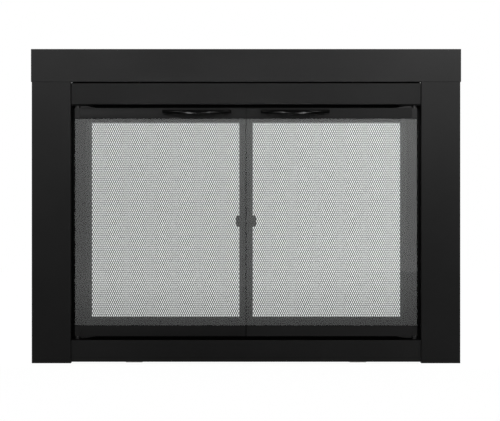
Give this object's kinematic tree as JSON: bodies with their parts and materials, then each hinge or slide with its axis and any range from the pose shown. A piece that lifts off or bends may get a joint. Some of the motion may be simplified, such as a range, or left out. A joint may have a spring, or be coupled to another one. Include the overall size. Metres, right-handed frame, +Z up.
{
  "type": "fireplace glass door",
  "caption": "Black steel fireplace surround with hinged glass doors, hinged mesh gates behind them, lintel clamps and floor brackets.",
  "frame": {"origin": "on the hearth, midway between the two floor anchor holes, 40 mm behind the face of the wall", "axes": "+X to the right along the width, +Y into the firebox, +Z up; the doors look along -Y"},
  "size_m": [1.147, 0.2142, 0.838],
  "materials": {
    "header_black": "satin black powder coat",
    "surround_black": "satin black powder coat",
    "rail_black": "satin black powder coat",
    "angle_black": "satin black powder coat",
    "channel_black": "satin black powder coat on folded channel",
    "pivot_block_black": "satin black powder coat",
    "hinge_black": "black coated steel plate",
    "zinc_steel": "bright zinc plated steel",
    "pin_steel": "plain steel",
    "nylon": "black nylon",
    "catch_black": "moulded black plastic round a magnet",
    "magnet": "nickel plated magnet",
    "glass": "clear tempered glass",
    "gasket": "black heat resistant liner",
    "handle_black": "gloss black lacquer on cast metal",
    "gate_black": "matt black heat resistant paint",
    "mesh_black": "matt black heat resistant paint on woven wire",
    "pull_black": "matt black heat resistant paint"
  },
  "bodies": {
    "surround": {"header": "header_black", "left_leg": "surround_black", "right_leg": "surround_black", "top_rail": "rail_black", "bottom_rail": "rail_black", "left_jamb": "angle_black", "right_jamb": "angle_black", "head_strip": "angle_black", "sill_strip": "angle_black", "corner_brackets": "zinc_steel", "corner_bolts": "zinc_steel", "rail_bolts": "zinc_steel", "frame_rivets": "angle_black", "upper_hinge_plates": "hinge_black", "lower_hinge_plates": "hinge_black", "hinge_plate_screws": "zinc_steel", "pivot_bushes": "nylon", "gate_hinge_lugs": "angle_black", "door_catches": "catch_black", "gate_stop_plate": "angle_black", "gate_magnets": "magnet", "left_lintel_clamp": "zinc_steel", "right_lintel_clamp": "zinc_steel", "left_floor_bracket": "zinc_steel", "right_floor_bracket": "zinc_steel", "bracket_bolts": "zinc_steel"},
    "left_door": {"left_door_glass": "glass", "left_door_top_channel": "channel_black", "left_door_bottom_channel": "channel_black", "left_door_gaskets": "gasket", "left_door_upper_pivot_block": "pivot_block_black", "left_door_lower_pivot_block": "pivot_block_black", "left_door_pivot_pins": "pin_steel", "left_door_handle": "handle_black", "left_door_handle_screws": "pin_steel"},
    "right_door": {"right_door_glass": "glass", "right_door_top_channel": "channel_black", "right_door_bottom_channel": "channel_black", "right_door_gaskets": "gasket", "right_door_upper_pivot_block": "pivot_block_black", "right_door_lower_pivot_block": "pivot_block_black", "right_door_pivot_pins": "pin_steel", "right_door_handle": "handle_black", "right_door_handle_screws": "pin_steel"},
    "left_gate": {"left_gate_hinge_stile": "gate_black", "left_gate_meeting_stile": "gate_black", "left_gate_rails": "gate_black", "left_gate_mesh": "mesh_black", "left_gate_pull": "pull_black", "left_gate_pull_screws": "pin_steel", "left_gate_pins": "pin_steel"},
    "right_gate": {"right_gate_hinge_stile": "gate_black", "right_gate_meeting_stile": "gate_black", "right_gate_rails": "gate_black", "right_gate_mesh": "mesh_black", "right_gate_pull": "pull_black", "right_gate_pull_screws": "pin_steel", "right_gate_pins": "pin_steel"},
    "left_clamp_screw": {"left_clamp_screw": "zinc_steel"},
    "right_clamp_screw": {"right_clamp_screw": "zinc_steel"}
  },
  "joints": [
    {"name": "left_door_hinge", "type": "hinge", "parent": "surround", "child": "left_door", "pos_m": [-0.45, -0.074, 0.3765], "axis": [0, 0, -1], "range_deg": [0, 105]},
    {"name": "right_door_hinge", "type": "hinge", "parent": "surround", "child": "right_door", "pos_m": [0.45, -0.074, 0.3765], "axis": [0, 0, 1], "range_deg": [0, 105]},
    {"name": "left_gate_hinge", "type": "hinge", "parent": "surround", "child": "left_gate", "pos_m": [-0.4245, -0.057, 0.3825], "axis": [0, 0, -1], "range_deg": [0, 95]},
    {"name": "right_gate_hinge", "type": "hinge", "parent": "surround", "child": "right_gate", "pos_m": [0.4245, -0.057, 0.3825], "axis": [0, 0, 1], "range_deg": [0, 95]},
    {"name": "left_clamp_screw_travel", "type": "slide", "parent": "surround", "child": "left_clamp_screw", "axis": [0, -1, 0], "range_m": [-0.025, 0.03]},
    {"name": "right_clamp_screw_travel", "type": "slide", "parent": "surround", "child": "right_clamp_screw", "axis": [0, -1, 0], "range_m": [-0.025, 0.03]}
  ],
  "couplings": [
    {"joint": "left_gate_hinge", "follows": "left_door_hinge", "ratio": 0.9},
    {"joint": "right_gate_hinge", "follows": "right_door_hinge", "ratio": 0.9}
  ]
}
